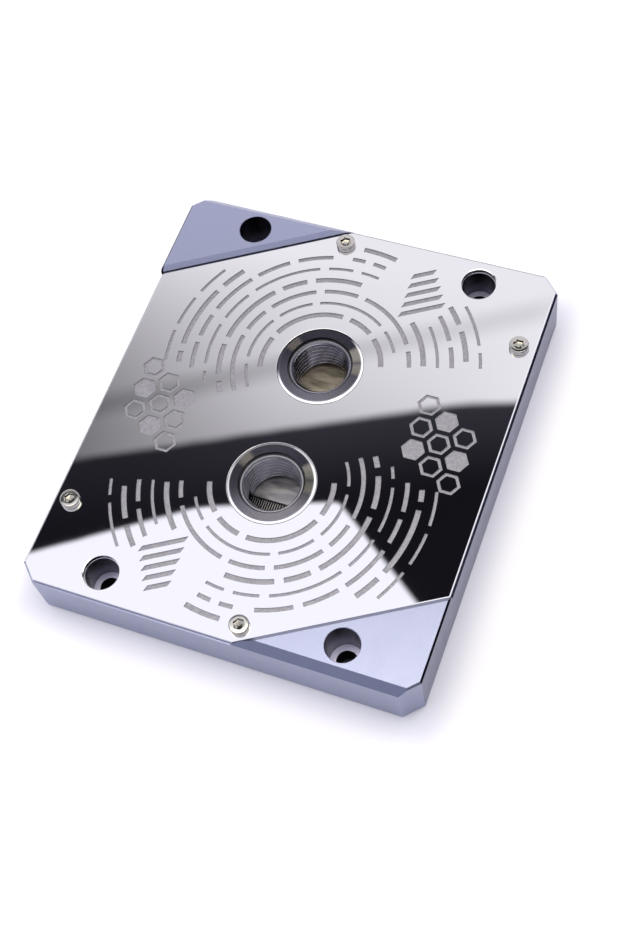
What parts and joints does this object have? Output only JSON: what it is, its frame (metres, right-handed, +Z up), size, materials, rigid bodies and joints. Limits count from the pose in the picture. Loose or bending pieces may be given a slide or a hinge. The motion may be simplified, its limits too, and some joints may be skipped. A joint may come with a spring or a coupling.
{
  "type": "cpu water block",
  "caption": "Rectangular liquid cooling block for a processor: chamfered metal frame, mirror top plate, threaded ports and finned cold plate.",
  "frame": {"origin": "middle of the frame's footprint, at the level of the cold plate's contact face", "axes": "+Z up out of the ports, +Y along the longer side from the outlet port to the inlet port"},
  "size_m": [0.0888, 0.1026, 0.0153],
  "materials": {
    "anodised_aluminium": "satin blue-grey anodised",
    "polished_steel": "mirror polished",
    "nickel_plated_brass": "nickel plated, turned",
    "nickel_plated_copper": "nickel plated, lapped",
    "stainless_steel": "bright",
    "black_rubber": "matte"
  },
  "bodies": {
    "root": {"frame_body": "anodised_aluminium", "top_plate": "polished_steel", "flow_core": "nickel_plated_brass", "jet_plate": "stainless_steel", "cold_plate": "nickel_plated_copper", "cold_plate_seal": "black_rubber", "plate_screw_1": "stainless_steel", "plate_screw_2": "stainless_steel", "plate_screw_3": "stainless_steel", "plate_screw_4": "stainless_steel", "core_screw_1": "stainless_steel", "core_screw_2": "stainless_steel", "core_screw_3": "stainless_steel", "core_screw_4": "stainless_steel", "cold_plate_screw_1": "stainless_steel", "cold_plate_screw_2": "stainless_steel", "cold_plate_screw_3": "stainless_steel", "cold_plate_screw_4": "stainless_steel", "cold_plate_screw_5": "stainless_steel", "cold_plate_screw_6": "stainless_steel", "cold_plate_screw_7": "stainless_steel", "cold_plate_screw_8": "stainless_steel"}
  },
  "joints": []
}
